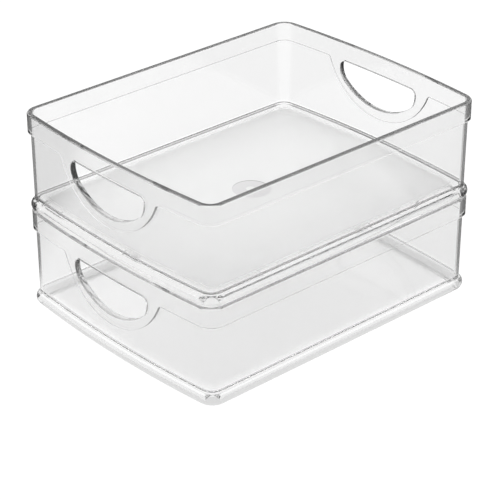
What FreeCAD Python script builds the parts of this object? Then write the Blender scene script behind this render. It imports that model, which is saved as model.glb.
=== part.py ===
import FreeCAD, Part
import math
import os
import Sketcher

# A stack of two identical clear storage bins, in millimetres.
# X is across the width, Y along the length, +Z up, with the origin under the middle of the lower bin.
os.makedirs("parts", exist_ok=True)
doc = FreeCAD.newDocument("fridge_bin")

SIZES = (
    ("bin_width", 200.0),
    ("bin_length", 260.5),
    ("bin_height", 76.5),
    ("end_bow", 5.5),
    ("corner_radius", 12.5),
    ("band_height", 14.8),
    ("wall_inset", 2.0),
    ("wall", 2.4),
    ("wall_draft", 0.35),
    ("step_round", 0.35),
    ("rim_round", 1.3),
    ("guard_radius", 54.5),
    ("guard_rise", 3.9),
    ("guard_blend", 3.0),
    ("hole_width", 76.8),
    ("hole_top", 14.5),
    ("hole_bottom", 42.5),
    ("hole_arc", 52.0),
    ("hole_side", 14.0),
    ("hole_corner", 4.5),
    ("hole_round", 1.0),
    ("floor_top", 10.8),
    ("floor_plate", 1.8),
    ("floor_round", 1.2),
    ("bead_radius", 4.6),
    ("bead_outset", 0.5),
    ("bead_middle", 5.2),
    ("ring_inset", 4.9),
    ("ring_wall", 2.2),
    ("nest_depth", 1.0),
    ("gate_recess", 27.0),
    ("gate_depth", 0.4),
    ("gate_boss", 7.0),
    ("lift_clear", 1.0),
)
sheet = doc.addObject("Spreadsheet::Sheet", "dims")
for row, (alias, value) in enumerate(SIZES, start=1):
    sheet.set("A%d" % row, alias)
    sheet.set("B%d" % row, str(value))
    sheet.setAlias("B%d" % row, alias)
doc.recompute()

HALF = "dims.bin_width / 2"
END_RADIUS = "(dims.bin_width * dims.bin_width / 4 + dims.end_bow * dims.end_bow) / (2 * dims.end_bow)"
END_CENTRE = "%s - dims.bin_length / 2" % END_RADIUS
START, END, MIDDLE = 1, 2, 3

reading = doc.addObject("App::FeaturePython", "reading")
reading.addProperty("App::PropertyFloat", "value")


def size(formula):
    """The value of a formula written with the sheet's names."""
    reading.setExpression("value", formula)
    reading.recompute()
    return reading.value


def plane(body, role):
    return [f for f in body.Origin.OriginFeatures if f.Role == role][0]


def new_sketch(body, name, role, lift="0"):
    sketch = body.newObject("Sketcher::SketchObject", name)
    sketch.AttachmentSupport = [(plane(body, role), "")]
    sketch.MapMode = "FlatFace"
    sketch.setExpression("AttachmentOffset.Base.z", lift)
    return sketch


def arc(x, y, radius, first, last):
    circle = Part.Circle(FreeCAD.Vector(x, y, 0), FreeCAD.Vector(0, 0, 1), radius)
    return Part.ArcOfCircle(circle, first, last)


def line(x0, y0, x1, y1):
    return Part.LineSegment(FreeCAD.Vector(x0, y0, 0), FreeCAD.Vector(x1, y1, 0))


def bind(sketch, constraint, formula):
    index = sketch.addConstraint(constraint)
    sketch.setExpression("Constraints[%d]" % index, formula)


def corner_centre():
    across = size(HALF) - size("dims.corner_radius")
    reach = size(END_RADIUS) - size("dims.corner_radius")
    along = math.sqrt(reach * reach - across * across) - size(END_CENTRE)
    return across, along


def turn_angle():
    across, along = corner_centre()
    return math.atan2(along + size(END_CENTRE), across)


def outline(body, name, inset, lift):
    """The bin's plan outline, moved inwards by inset: straight long sides, round corners, bowed ends."""
    sketch = new_sketch(body, name, "XY_Plane", lift)
    across, along = corner_centre()
    turn = turn_angle()
    half = size("%s - (%s)" % (HALF, inset))
    corner = size("dims.corner_radius - (%s)" % inset)
    end = size("%s - (%s)" % (END_RADIUS, inset))
    centre = size(END_CENTRE)
    sketch.addGeometry(
        [
            line(half, -along, half, along),
            arc(across, along, corner, 0, turn),
            arc(0, -centre, end, turn, math.pi - turn),
            arc(-across, along, corner, math.pi - turn, math.pi),
            line(-half, along, -half, -along),
            arc(-across, -along, corner, math.pi, math.pi + turn),
            arc(0, centre, end, math.pi + turn, 2 * math.pi - turn),
            arc(across, -along, corner, 2 * math.pi - turn, 2 * math.pi),
        ],
        False,
    )
    for side in range(8):
        sketch.addConstraint(Sketcher.Constraint("Tangent", side, END, (side + 1) % 8, START))
    for side in (0, 4):
        sketch.addConstraint(Sketcher.Constraint("Vertical", side))
    for side in (2, 6):
        sketch.addConstraint(Sketcher.Constraint("PointOnObject", side, MIDDLE, -2))
    for side in (2, 6):
        bind(sketch, Sketcher.Constraint("Radius", side, end), "%s - (%s)" % (END_RADIUS, inset))
    for side in (1, 3, 5, 7):
        bind(sketch, Sketcher.Constraint("Radius", side, corner), "dims.corner_radius - (%s)" % inset)
    bind(sketch, Sketcher.Constraint("DistanceX", -1, 1, 0, START, half), "%s - (%s)" % (HALF, inset))
    bind(sketch, Sketcher.Constraint("DistanceX", 4, START, -1, 1, half), "%s - (%s)" % (HALF, inset))
    bind(sketch, Sketcher.Constraint("DistanceY", 2, MIDDLE, -1, 1, centre), END_CENTRE)
    bind(sketch, Sketcher.Constraint("DistanceY", -1, 1, 6, MIDDLE, centre), END_CENTRE)
    return sketch


def pad(body, name, sketch, length):
    feature = body.newObject("PartDesign::Pad", name)
    feature.Profile = sketch
    feature.setExpression("Length", length)
    body.Tip = feature
    return feature


def loft(body, name, low, high):
    feature = body.newObject("PartDesign::AdditiveLoft", name)
    feature.Profile = low
    feature.Sections = [high]
    feature.Ruled = True
    body.Tip = feature
    return feature


def guard_trim(body, name):
    """Cuts the band block back to a straight band with a round guard hanging below it at each hand hole."""
    radius = size("dims.guard_radius")
    blend = size("dims.guard_blend")
    centre = size("dims.bin_height + dims.guard_rise")
    edge = size("dims.bin_height - dims.band_height")
    depth = centre - edge
    blend_x = math.sqrt((radius + blend) ** 2 - (depth + blend) ** 2)
    lean = math.atan2(-(depth + blend), blend_x)
    low = centre - radius - 20
    wide = size(HALF) + 20
    sketch = new_sketch(body, name + "_line", "XZ_Plane")
    sketch.addGeometry(
        [
            arc(0, centre, radius, math.pi - lean, 2 * math.pi + lean),
            arc(blend_x, edge - blend, blend, math.pi / 2, math.pi + lean),
            line(blend_x, edge, wide, edge),
            line(wide, edge, wide, low),
            line(wide, low, -wide, low),
            line(-wide, low, -wide, edge),
            line(-wide, edge, -blend_x, edge),
            arc(-blend_x, edge - blend, blend, -lean, math.pi / 2),
        ],
        False,
    )
    sketch.addConstraint(
        [
            Sketcher.Constraint("Tangent", 0, END, 1, END),
            Sketcher.Constraint("Tangent", 1, START, 2, START),
            Sketcher.Constraint("Coincident", 2, END, 3, START),
            Sketcher.Constraint("Coincident", 3, END, 4, START),
            Sketcher.Constraint("Coincident", 4, END, 5, START),
            Sketcher.Constraint("Coincident", 5, END, 6, START),
            Sketcher.Constraint("Tangent", 6, END, 7, END),
            Sketcher.Constraint("Tangent", 7, START, 0, START),
            Sketcher.Constraint("Horizontal", 2),
            Sketcher.Constraint("Vertical", 3),
            Sketcher.Constraint("Horizontal", 4),
            Sketcher.Constraint("Vertical", 5),
            Sketcher.Constraint("Horizontal", 6),
            Sketcher.Constraint("PointOnObject", 0, MIDDLE, -2),
            Sketcher.Constraint("Equal", 1, 7),
        ]
    )
    bind(sketch, Sketcher.Constraint("Radius", 0, radius), "dims.guard_radius")
    bind(sketch, Sketcher.Constraint("Radius", 1, blend), "dims.guard_blend")
    bind(
        sketch,
        Sketcher.Constraint("DistanceY", -1, 1, 0, MIDDLE, centre),
        "dims.bin_height + dims.guard_rise",
    )
    for side, point in ((2, START), (6, END)):
        bind(
            sketch,
            Sketcher.Constraint("DistanceY", -1, 1, side, point, edge),
            "dims.bin_height - dims.band_height",
        )
    sketch.addConstraint(Sketcher.Constraint("DistanceX", -1, 1, 3, START, wide))
    sketch.addConstraint(Sketcher.Constraint("DistanceX", 5, START, -1, 1, wide))
    sketch.addConstraint(Sketcher.Constraint("DistanceY", -1, 1, 4, START, low))
    doc.recompute()
    before = body.Shape.Volume
    feature = body.newObject("PartDesign::Pocket", name)
    feature.Profile = sketch
    feature.Length = 2 * size("dims.bin_length")
    feature.Midplane = True
    body.Tip = feature
    doc.recompute()
    if not feature.Shape.Volume < before - 1:
        raise RuntimeError(name + " cut nothing")
    return feature


def inset_of(point):
    """How far inside the band's outline a point lies in plan."""
    across, along = corner_centre()
    x, y = abs(point.x), abs(point.y)
    from_end = size(END_RADIUS) - math.hypot(x, y + size(END_CENTRE))
    if y <= along:
        return min(size(HALF) - x, from_end)
    if x > across and math.atan2(y - along, x - across) < turn_angle():
        return size("dims.corner_radius") - math.hypot(x - across, y - along)
    return from_end


def middle_of(edge):
    return edge.valueAt((edge.FirstParameter + edge.LastParameter) / 2)


def upright(edge):
    return edge.BoundBox.ZLength > 0.98 * edge.Length


def named_edges(shape, wanted):
    return ["Edge%d" % (i + 1) for i, edge in enumerate(shape.Edges) if wanted(edge)]


def round_edges(body, name, wanted, radius):
    base = body.Tip
    feature = body.newObject("PartDesign::Fillet", name)
    feature.Base = (base, named_edges(base.Shape, wanted))
    feature.setExpression("Radius", radius)
    body.Tip = feature
    doc.recompute()
    return feature


def bead_path(body, name):
    """Half of the wall's outline at the height of the bead's middle, round one end of the bin."""
    sketch = new_sketch(body, name, "XY_Plane", "dims.bead_middle")
    across, along = corner_centre()
    turn = turn_angle()
    half = size("%s - dims.wall_inset" % HALF)
    corner = size("dims.corner_radius - dims.wall_inset")
    end = size("%s - dims.wall_inset" % END_RADIUS)
    centre = size(END_CENTRE)
    sketch.addGeometry(
        [
            line(half, 0, half, along),
            arc(across, along, corner, 0, turn),
            arc(0, -centre, end, turn, math.pi - turn),
            arc(-across, along, corner, math.pi - turn, math.pi),
            line(-half, along, -half, 0),
        ],
        False,
    )
    for side in range(4):
        sketch.addConstraint(Sketcher.Constraint("Tangent", side, END, side + 1, START))
    sketch.addConstraint(
        [
            Sketcher.Constraint("Vertical", 0),
            Sketcher.Constraint("Vertical", 4),
            Sketcher.Constraint("PointOnObject", 0, START, -1),
            Sketcher.Constraint("PointOnObject", 4, END, -1),
            Sketcher.Constraint("PointOnObject", 2, MIDDLE, -2),
            Sketcher.Constraint("Equal", 1, 3),
        ]
    )
    bind(sketch, Sketcher.Constraint("Radius", 2, end), "%s - dims.wall_inset" % END_RADIUS)
    bind(sketch, Sketcher.Constraint("Radius", 1, corner), "dims.corner_radius - dims.wall_inset")
    bind(sketch, Sketcher.Constraint("DistanceX", -1, 1, 0, START, half), "%s - dims.wall_inset" % HALF)
    bind(sketch, Sketcher.Constraint("DistanceX", 4, END, -1, 1, half), "%s - dims.wall_inset" % HALF)
    bind(sketch, Sketcher.Constraint("DistanceY", 2, MIDDLE, -1, 1, centre), END_CENTRE)
    return sketch


def bead_section(body, name):
    """The foot bead's section: an arc outside, flat below where it rests on a rim."""
    sketch = new_sketch(body, name, "XZ_Plane")
    radius = size("dims.bead_radius")
    centre_x = size("%s + dims.bead_outset - dims.bead_radius" % HALF)
    centre_z = size("dims.bead_middle")
    low = size("dims.nest_depth")
    inner = size("%s - dims.ring_inset - 1" % HALF)
    top_x = inner + 1
    first = math.asin((low - centre_z) / radius)
    last = math.acos((top_x - centre_x) / radius)
    top = centre_z + radius * math.sin(last)
    right = centre_x + radius * math.cos(first)
    sketch.addGeometry(
        [
            arc(centre_x, centre_z, radius, first, last),
            line(top_x, top, inner, top),
            line(inner, top, inner, low),
            line(inner, low, right, low),
        ],
        False,
    )
    for side in range(4):
        sketch.addConstraint(Sketcher.Constraint("Coincident", side, END, (side + 1) % 4, START))
    sketch.addConstraint(
        [
            Sketcher.Constraint("Horizontal", 1),
            Sketcher.Constraint("Vertical", 2),
            Sketcher.Constraint("Horizontal", 3),
        ]
    )
    bind(sketch, Sketcher.Constraint("Radius", 0, radius), "dims.bead_radius")
    bind(
        sketch,
        Sketcher.Constraint("DistanceX", -1, 1, 0, MIDDLE, centre_x),
        "%s + dims.bead_outset - dims.bead_radius" % HALF,
    )
    bind(sketch, Sketcher.Constraint("DistanceY", -1, 1, 0, MIDDLE, centre_z), "dims.bead_middle")
    bind(sketch, Sketcher.Constraint("DistanceY", -1, 1, 3, START, low), "dims.nest_depth")
    bind(sketch, Sketcher.Constraint("DistanceX", -1, 1, 2, START, inner), "%s - dims.ring_inset - 1" % HALF)
    bind(sketch, Sketcher.Constraint("DistanceX", -1, 1, 0, END, top_x), "%s - dims.ring_inset" % HALF)
    return sketch


def outside(prefix):
    """Everything inside the bin's outer faces: ring, foot bead, wall, band and guards."""
    body = doc.addObject("PartDesign::Body", prefix + "_outside")
    band = outline(body, prefix + "_band_line", "0", "dims.bin_height - dims.guard_radius")
    pad(body, prefix + "_band", band, "dims.guard_radius")
    doc.recompute()
    guard_trim(body, prefix + "_guards")
    ring = outline(body, prefix + "_ring_line", "dims.ring_inset", "0")
    pad(body, prefix + "_ring", ring, "dims.floor_top")
    low = outline(body, prefix + "_wall_low", "dims.wall_inset + dims.wall_draft", "2 * dims.bead_middle - 1")
    high = outline(body, prefix + "_wall_high", "dims.wall_inset", "dims.bin_height")
    loft(body, prefix + "_wall", low, high)
    doc.recompute()
    pipe = body.newObject("PartDesign::AdditivePipe", prefix + "_bead")
    pipe.Profile = bead_section(body, prefix + "_bead_section")
    pipe.Spine = bead_path(body, prefix + "_bead_path")
    body.Tip = pipe
    doc.recompute()
    mirror = body.newObject("PartDesign::Mirrored", prefix + "_bead_both")
    mirror.Originals = [pipe]
    mirror.MirrorPlane = (plane(body, "XZ_Plane"), [""])
    body.Tip = mirror
    doc.recompute()
    low_z = size("dims.bin_height - dims.guard_radius")
    high_z = size("dims.bin_height - dims.band_height") + 0.1

    def on_step(edge):
        point = middle_of(edge)
        return low_z < point.z < high_z and not upright(edge) and inset_of(point) < 0.05

    round_edges(body, prefix + "_step_round", on_step, "dims.step_round")
    return body


def inside(prefix):
    """The space in the bin, with a rounded corner round the floor and the moulding gate's ring sunk in it."""
    body = doc.addObject("PartDesign::Body", prefix + "_inside")
    mouth = outline(body, prefix + "_mouth_line", "dims.wall_inset + dims.wall", "dims.bin_height")
    pad(body, prefix + "_mouth", mouth, "dims.lift_clear")
    low = outline(
        body, prefix + "_inner_low", "dims.wall_inset + dims.wall + dims.wall_draft", "dims.floor_top"
    )
    high = outline(body, prefix + "_inner_high", "dims.wall_inset + dims.wall", "dims.bin_height")
    loft(body, prefix + "_inner", low, high)
    doc.recompute()
    floor = size("dims.floor_top")

    def at_floor(edge):
        return abs(edge.BoundBox.ZMin - floor) < 0.01 and abs(edge.BoundBox.ZMax - floor) < 0.01

    round_edges(body, prefix + "_floor_round", at_floor, "dims.floor_round")
    gate = new_sketch(body, prefix + "_gate_line", "XY_Plane", "dims.floor_top - dims.gate_depth")
    for name in ("gate_recess", "gate_boss"):
        radius = size("dims.%s / 2" % name)
        circle = Part.Circle(FreeCAD.Vector(0, 0, 0), FreeCAD.Vector(0, 0, 1), radius)
        index = gate.addGeometry(circle, False)
        gate.addConstraint(Sketcher.Constraint("Coincident", index, MIDDLE, -1, 1))
        bind(gate, Sketcher.Constraint("Radius", index, radius), "dims.%s / 2" % name)
    pad(body, prefix + "_gate", gate, "dims.gate_depth + dims.lift_clear")
    doc.recompute()
    return body


def underside(prefix):
    """The hollow under the floor, inside the foot ring."""
    body = doc.addObject("PartDesign::Body", prefix + "_underside")
    hollow = outline(body, prefix + "_hollow_line", "dims.ring_inset + dims.ring_wall", "-dims.lift_clear")
    depth = "dims.floor_top - dims.floor_plate + dims.lift_clear"
    pad(body, prefix + "_hollow", hollow, depth)
    doc.recompute()
    return body


def hand_holes(prefix):
    """One long bar with the hand hole's outline, through both end walls."""
    body = doc.addObject("PartDesign::Body", prefix + "_holes")
    sketch = new_sketch(body, prefix + "_hole_line", "XZ_Plane")
    half = size("dims.hole_width / 2")
    top = size("dims.bin_height - dims.hole_top")
    low = size("dims.bin_height - dims.hole_bottom")
    big = size("dims.hole_arc")
    side = size("dims.hole_side")
    corner = size("dims.hole_corner")
    side_x = half - side
    side_z = low + big - math.sqrt((big - side) ** 2 - side_x ** 2)
    turn = math.atan2(side_z - low - big, side_x)
    sketch.addGeometry(
        [
            line(half - corner, top, corner - half, top),
            arc(corner - half, top - corner, corner, math.pi / 2, math.pi),
            line(-half, top - corner, -half, side_z),
            arc(-side_x, side_z, side, math.pi, math.pi - turn),
            arc(0, low + big, big, math.pi - turn, 2 * math.pi + turn),
            arc(side_x, side_z, side, turn, 0),
            line(half, side_z, half, top - corner),
            arc(half - corner, top - corner, corner, 0, math.pi / 2),
        ],
        False,
    )
    for item in range(8):
        sketch.addConstraint(Sketcher.Constraint("Tangent", item, END, (item + 1) % 8, START))
    sketch.addConstraint(
        [
            Sketcher.Constraint("Horizontal", 0),
            Sketcher.Constraint("Vertical", 2),
            Sketcher.Constraint("Vertical", 6),
            Sketcher.Constraint("PointOnObject", 4, MIDDLE, -2),
            Sketcher.Constraint("Equal", 1, 7),
            Sketcher.Constraint("Equal", 3, 5),
        ]
    )
    bind(sketch, Sketcher.Constraint("Radius", 1, corner), "dims.hole_corner")
    bind(sketch, Sketcher.Constraint("Radius", 3, side), "dims.hole_side")
    bind(sketch, Sketcher.Constraint("Radius", 4, big), "dims.hole_arc")
    bind(sketch, Sketcher.Constraint("DistanceX", -1, 1, 6, START, half), "dims.hole_width / 2")
    bind(sketch, Sketcher.Constraint("DistanceX", 2, START, -1, 1, half), "dims.hole_width / 2")
    bind(
        sketch,
        Sketcher.Constraint("DistanceY", -1, 1, 0, START, top),
        "dims.bin_height - dims.hole_top",
    )
    bind(
        sketch,
        Sketcher.Constraint("DistanceY", -1, 1, 4, MIDDLE, low + big),
        "dims.bin_height - dims.hole_bottom + dims.hole_arc",
    )
    doc.recompute()
    feature = pad(body, prefix + "_hole", sketch, "dims.bin_length * 2")
    feature.Midplane = True
    doc.recompute()
    return body


def cut(name, base, tool):
    feature = doc.addObject("Part::Cut", name)
    feature.Base = base
    feature.Tool = tool
    doc.recompute()
    return feature


def storage_bin(node, lift):
    """One whole bin, standing with its foot at the height lift."""
    shell = cut(node + "_shell", outside(node), inside(node))
    footed = cut(node + "_footed", shell, underside(node))
    open_ended = cut(node + "_open", footed, hand_holes(node))
    rim = size("dims.bin_height")
    hole_top = size("dims.bin_height - dims.hole_top") + 0.1
    hole_low = size("dims.bin_height - dims.hole_bottom") - 0.1
    half = size("dims.hole_width / 2") + 0.1
    picked = []
    for index, edge in enumerate(open_ended.Shape.Edges, start=1):
        box = edge.BoundBox
        if box.ZMin > rim - 0.01:
            picked.append((index, size("dims.rim_round"), size("dims.rim_round")))
        elif box.ZMin > hole_low and box.ZMax < hole_top and max(-box.XMin, box.XMax) < half:
            if box.YLength < 1.5:
                picked.append((index, size("dims.hole_round"), size("dims.hole_round")))
    feature = doc.addObject("Part::Fillet", node)
    feature.Base = open_ended
    feature.Edges = picked
    feature.Label = node
    feature.setExpression("Placement.Base.z", lift)
    doc.recompute()
    return feature


bins = [
    storage_bin("lower_bin", "0"),
    storage_bin("upper_bin", "dims.bin_height - dims.nest_depth"),
]

doc.removeObject("reading")
for item in doc.Objects:
    if "Invalid" in item.State or "Error" in item.State:
        raise RuntimeError("%s is in state %s" % (item.Name, item.State))
for item in bins:
    if item.Shape.isNull() or not item.Shape.isValid() or len(item.Shape.Solids) != 1:
        raise RuntimeError("%s has no valid solid" % item.Name)
    item.Shape.exportStep("parts/%s.step" % item.Label)
    box = item.Shape.optimalBoundingBox(True, False)
    extent = (box.XLength, box.YLength, box.ZMin, box.ZMax)
    print(item.Label, round(item.Shape.Volume), [round(value, 2) for value in extent])
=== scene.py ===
import math

import bpy
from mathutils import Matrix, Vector

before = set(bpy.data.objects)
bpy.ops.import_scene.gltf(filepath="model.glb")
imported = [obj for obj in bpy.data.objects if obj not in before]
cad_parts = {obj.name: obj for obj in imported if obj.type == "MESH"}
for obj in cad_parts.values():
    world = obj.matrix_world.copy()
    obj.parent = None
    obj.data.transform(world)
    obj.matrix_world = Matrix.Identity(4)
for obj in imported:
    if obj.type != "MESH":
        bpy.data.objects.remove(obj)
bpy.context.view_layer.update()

# Lengths are in metres and angles in degrees. A tint or a share of 1 changes nothing.

# The camera stands well back with a long lens, above one corner of the stack. Its lens and sensor are in mm.
LENS = 143.856
SENSOR = 36.0
AZIMUTH, ELEVATION, DISTANCE = 48.0, 28.75, 1.45
AIM = Vector((-0.0004, -0.0004, 0.0364))
CLIP_START, CLIP_END = 0.05, 100.0

# Heights above the foot of a bin.
FOOT_EDGE = 0.0086
FLOOR_UNDER = 0.0090
FLOOR_TOP = 0.0108
WALL_FOOT = 0.0125
STEP_HEIGHT = 0.0617
RIM_EDGE = 0.07644

# A face is level if it points up or down by more than this share, and at a height if it is this near to it.
LEVEL_SHARE = 0.9
LEVEL_REACH = 0.0008

# Frosted area of the floor: half its width and length, the bow of its ends and how sharply it ends.
FROST_ACROSS = 0.0915
FROST_ALONG = 0.122
FROST_BOW = 0.55
FROST_POWER = 40.0

# The step dips round each hand hole along a circle. Its face there is this near to the circle, points out of
# the wall by less than this share, and is this far from the middle of the bin.
DIP_CENTRE = 0.0804
DIP_RADIUS = 0.0545
DIP_REACH = 0.0015
DIP_FACING = 0.75
END_WALL = 0.12

# Moulding gate in the middle of the floor: the middle radius of its ring, and half the ring's width.
GATE_RADIUS = 0.0085
GATE_HALF = 0.005

# The plastic.
IOR = 1.5
DENSITY = 5.0
ROUGH_TOP = 0.1
# Painted shade: the walls are drawn greyer than the floor, which is the same plastic.
WALL_PAINTED_SHADE = 0.905
# Painted shade: a darker grey drawn on the level face of the step.
STEP_PAINTED_SHADE = 0.7
# Painted shade: a dark arc drawn on the step's face where it dips round a hand hole.
DIP_PAINTED_SHADE = 0.08
GATE_TINT = 0.84

# For each bin: the painted shade of its rim and foot (darker greys drawn on the surface for their dark edge
# lines), the clear share of its floor and the roughness under it.
BINS = {
    "lower_bin": (0.75, 0.72, 0.78, 0.2),
    "upper_bin": (0.05, 1.0, 0.6, 0.4),
}

# The ground in one mirror reflection: its strength in front of the stack, its strength behind the stack,
# and where the one turns into the other. Light that has been scattered is stronger.
MIRRORED = 1.0
MIRRORED_BACK = 0.15
BEHIND_FROM, BEHIND_TO = -0.01, 0.04
SCATTERED = 1.35

# The depths of a light path are whole numbers, so half a count tells one from the next.
HALF_COUNT = 0.5

GROUND_SIZE = 60.0
GROUND_GREY = 0.06
GROUND_ROUGH = 0.9

BOUNCES = 32
DIFFUSE_BOUNCES = 16


def set_socket(node, name, value):
    node.inputs[name].default_value = value


def math_node(tree, operation, first, second=None, third=None):
    node = tree.nodes.new("ShaderNodeMath")
    node.operation = operation
    for socket, value in zip(node.inputs, (first, second, third)):
        if isinstance(value, bpy.types.NodeSocket):
            tree.links.new(value, socket)
        elif value is not None:
            socket.default_value = value
    return node.outputs[0]


def product(tree, first, *others):
    for other in others:
        first = math_node(tree, "MULTIPLY", first, other)
    return first


def changed(tree, value, where, change):
    """The value, with a change added where a mask is 1."""
    return math_node(tree, "MULTIPLY_ADD", where, change, value)


def parts_of(tree, vector):
    """The X, Y and Z sockets of a vector."""
    node = tree.nodes.new("ShaderNodeSeparateXYZ")
    tree.links.new(vector, node.inputs["Vector"])
    return node.outputs


def object_place(tree):
    """Where a point is in the shared frame."""
    return parts_of(tree, tree.nodes.new("ShaderNodeTexCoord").outputs["Object"])


def facing(tree):
    """Which way a face points."""
    return parts_of(tree, tree.nodes.new("ShaderNodeNewGeometry").outputs["Normal"])


def distance(tree, across, along):
    """How far a point is from the middle, from its places in two directions that are square to each other."""
    squared = product(tree, across, across)
    return math_node(tree, "SQRT", math_node(tree, "MULTIPLY_ADD", along, along, squared))


def frosted_area(tree, place):
    """1 over the middle of the floor, fading to 0 a little inside the walls."""
    across = math_node(tree, "ABSOLUTE", place["X"])
    bowed = product(tree, place["X"], place["X"], FROST_BOW)
    along = math_node(tree, "ADD", math_node(tree, "ABSOLUTE", place["Y"]), bowed)
    across = math_node(tree, "DIVIDE", across, FROST_ACROSS)
    along = math_node(tree, "DIVIDE", along, FROST_ALONG)
    across = math_node(tree, "POWER", across, FROST_POWER)
    along = math_node(tree, "POWER", along, FROST_POWER)
    outwards = math_node(tree, "ADD", across, along)
    outwards = math_node(tree, "MINIMUM", outwards, 1.0)
    return math_node(tree, "SUBTRACT", 1.0, outwards)


def level_face(tree, place, height):
    """1 on level faces at a height, 0 elsewhere."""
    upright = math_node(tree, "ABSOLUTE", facing(tree)["Z"])
    level = math_node(tree, "GREATER_THAN", upright, LEVEL_SHARE)
    near = math_node(tree, "COMPARE", place["Z"], height, LEVEL_REACH)
    return product(tree, near, level)


def dip_face(tree, place, lift):
    """1 on the face of the step that dips round a hand hole, 0 elsewhere."""
    endways = math_node(tree, "ABSOLUTE", facing(tree)["Y"])
    edgewise = math_node(tree, "LESS_THAN", endways, DIP_FACING)
    drop = math_node(tree, "SUBTRACT", place["Z"], lift + DIP_CENTRE)
    radius = distance(tree, place["X"], drop)
    near = math_node(tree, "COMPARE", radius, DIP_RADIUS, DIP_REACH)
    below = math_node(tree, "LESS_THAN", place["Z"], lift + STEP_HEIGHT)
    along = math_node(tree, "ABSOLUTE", place["Y"])
    in_end_wall = math_node(tree, "GREATER_THAN", along, END_WALL)
    return product(tree, near, edgewise, below, in_end_wall)


def gate_ring(tree, place):
    """1 between the two circles of the gate, 0 elsewhere."""
    radius = distance(tree, place["X"], place["Y"])
    return math_node(tree, "COMPARE", radius, GATE_RADIUS, GATE_HALF)


def plastic_grey_and_painted_shade(tree, place, frosted_top, lift, rim_painted_shade, foot_painted_shade):
    """Grey of the plastic's surface: foot, wall, rim and the edges of the step carry painted shade, darker
    greys drawn for dark edges and grey walls; the gate has a tint.
    """
    wall = math_node(tree, "GREATER_THAN", place["Z"], lift + WALL_FOOT)
    rim = math_node(tree, "GREATER_THAN", place["Z"], lift + RIM_EDGE)
    foot = math_node(tree, "LESS_THAN", place["Z"], lift + FOOT_EDGE)
    step = level_face(tree, place, lift + STEP_HEIGHT)
    gate = product(tree, gate_ring(tree, place), frosted_top)
    # Painted shade: the walls are drawn greyer than the floor of the same plastic.
    grey = changed(tree, 1.0, wall, WALL_PAINTED_SHADE - 1.0)
    # Painted shade: the rim is drawn darker for the dark edge line along it.
    grey = changed(tree, grey, rim, rim_painted_shade - WALL_PAINTED_SHADE)
    # Painted shade: the foot is drawn darker for the dark line along the bottom outline.
    grey = changed(tree, grey, foot, foot_painted_shade - 1.0)
    # Painted shade: the level face of the step is drawn darker.
    grey = changed(tree, grey, step, STEP_PAINTED_SHADE - WALL_PAINTED_SHADE)
    # Painted shade: a dark arc drawn where the step dips round the hand hole.
    grey = changed(tree, grey, dip_face(tree, place, lift), DIP_PAINTED_SHADE - WALL_PAINTED_SHADE)
    grey = changed(tree, grey, gate, GATE_TINT - 1.0)
    tint = tree.nodes.new("ShaderNodeCombineColor")
    for channel in ("Red", "Green", "Blue"):
        tree.links.new(grey, tint.inputs[channel])
    return tint.outputs["Color"]


def absorb_light(tree):
    """Make the plastic grey through its thickness."""
    absorb = tree.nodes.new("ShaderNodeVolumeAbsorption")
    set_socket(absorb, "Color", (0.0, 0.0, 0.0, 1.0))
    set_socket(absorb, "Density", DENSITY)
    tree.links.new(absorb.outputs["Volume"], tree.nodes["Material Output"].inputs["Volume"])


def clear_plastic(name, lift, rim_painted_shade, foot_painted_shade, clear_floor, rough_under):
    """Colourless clear plastic with a finely frosted floor and painted shade on its walls, rim, foot and
    step, for the bin whose foot is at a height of lift.
    """
    material = bpy.data.materials.new(name)
    material.use_nodes = True
    tree = material.node_tree
    shader = tree.nodes["Principled BSDF"]
    place = object_place(tree)
    frost = frosted_area(tree, place)
    under = product(tree, level_face(tree, place, lift + FLOOR_UNDER), frost)
    top = product(tree, level_face(tree, place, lift + FLOOR_TOP), frost)
    rough = changed(tree, product(tree, under, rough_under), top, ROUGH_TOP)
    clear = changed(tree, 1.0, top, clear_floor - 1.0)
    tint = plastic_grey_and_painted_shade(tree, place, top, lift, rim_painted_shade, foot_painted_shade)
    tree.links.new(rough, shader.inputs["Roughness"])
    tree.links.new(clear, shader.inputs["Transmission Weight"])
    tree.links.new(tint, shader.inputs["Base Color"])
    set_socket(shader, "IOR", IOR)
    absorb_light(tree)
    return material


def make_bins():
    for node, settings in BINS.items():
        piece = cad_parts[node]
        lift = min(corner[2] for corner in piece.bound_box)
        piece.data.materials.clear()
        piece.data.materials.append(clear_plastic(node + "_clear", lift, *settings))


def make_camera():
    data = bpy.data.cameras.new("camera")
    camera = bpy.data.objects.new("camera", data)
    bpy.context.scene.collection.objects.link(camera)
    a, e = math.radians(AZIMUTH), math.radians(ELEVATION)
    back = Vector((math.sin(a) * math.cos(e), -math.cos(a) * math.cos(e), math.sin(e)))
    camera.location = AIM + back * DISTANCE
    camera.rotation_mode = "QUATERNION"
    camera.rotation_quaternion = (-back).to_track_quat("-Z", "Y")
    data.sensor_width = SENSOR
    data.lens = LENS
    data.clip_start = CLIP_START
    data.clip_end = CLIP_END
    bpy.context.scene.camera = camera


def seen_light(tree, mirrored):
    """1 seen straight on or through the plastic, mirrored in one reflection, more for scattered light."""
    path = tree.nodes.new("ShaderNodeLightPath")
    once = math_node(tree, "COMPARE", path.outputs["Glossy Depth"], 1.0, HALF_COUNT)
    loss = math_node(tree, "SUBTRACT", mirrored, 1.0)
    dimmed = changed(tree, 1.0, once, loss)
    scattered = math_node(tree, "GREATER_THAN", path.outputs["Diffuse Depth"], HALF_COUNT)
    mix = tree.nodes.new("ShaderNodeMix")
    tree.links.new(scattered, mix.inputs["Factor"])
    tree.links.new(dimmed, mix.inputs["A"])
    set_socket(mix, "B", SCATTERED)
    return mix.outputs["Result"]


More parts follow.
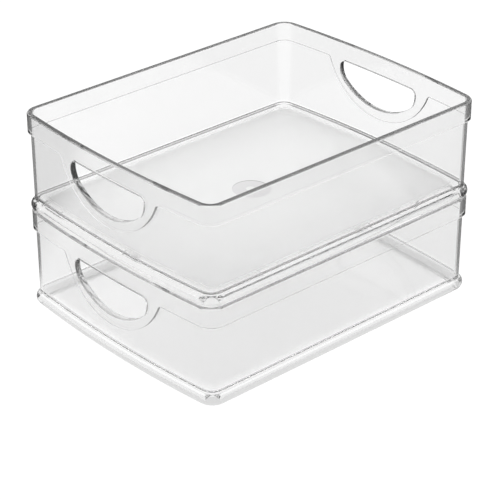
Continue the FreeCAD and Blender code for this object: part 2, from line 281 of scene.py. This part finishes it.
def behind(tree):
    """0 on the ground in front of the two far walls, rising to 1 beyond them."""
    place = object_place(tree)
    a = math.radians(AZIMUTH)
    sideways = product(tree, place["X"], -math.sin(a))
    away = math_node(tree, "MULTIPLY_ADD", place["Y"], math.cos(a), sideways)
    rise = tree.nodes.new("ShaderNodeMapRange")
    rise.interpolation_type = "SMOOTHSTEP"
    tree.links.new(away, rise.inputs["Value"])
    set_socket(rise, "From Min", BEHIND_FROM)
    set_socket(rise, "From Max", BEHIND_TO)
    return rise.outputs["Result"]


def make_ground():
    material = bpy.data.materials.new("floor_white")
    material.use_nodes = True
    tree = material.node_tree
    shader = tree.nodes["Principled BSDF"]
    set_socket(shader, "Base Color", (GROUND_GREY, GROUND_GREY, GROUND_GREY, 1.0))
    set_socket(shader, "Roughness", GROUND_ROUGH)
    set_socket(shader, "Specular IOR Level", 0.0)
    set_socket(shader, "Emission Color", (1.0, 1.0, 1.0, 1.0))
    mirrored = changed(tree, MIRRORED, behind(tree), MIRRORED_BACK - MIRRORED)
    tree.links.new(seen_light(tree, mirrored), shader.inputs["Emission Strength"])
    bpy.ops.mesh.primitive_plane_add(size=GROUND_SIZE, location=(0.0, 0.0, 0.0))
    ground = bpy.context.object
    ground.name = "floor"
    ground.data.materials.append(material)


def make_world():
    world = bpy.data.worlds.new("studio")
    bpy.context.scene.world = world
    world.use_nodes = True
    tree = world.node_tree
    background = tree.nodes["Background"]
    set_socket(background, "Color", (1.0, 1.0, 1.0, 1.0))
    tree.links.new(seen_light(tree, 1.0), background.inputs["Strength"])


def set_light_paths():
    """Enough bounces for light that is caught inside the walls, and plain picture tones."""
    scene = bpy.context.scene
    scene.cycles.max_bounces = BOUNCES
    scene.cycles.transmission_bounces = BOUNCES
    scene.cycles.transparent_max_bounces = BOUNCES
    scene.cycles.glossy_bounces = BOUNCES
    scene.cycles.diffuse_bounces = DIFFUSE_BOUNCES
    scene.view_settings.view_transform = "Standard"


make_camera()
make_ground()
make_world()
make_bins()
set_light_paths()
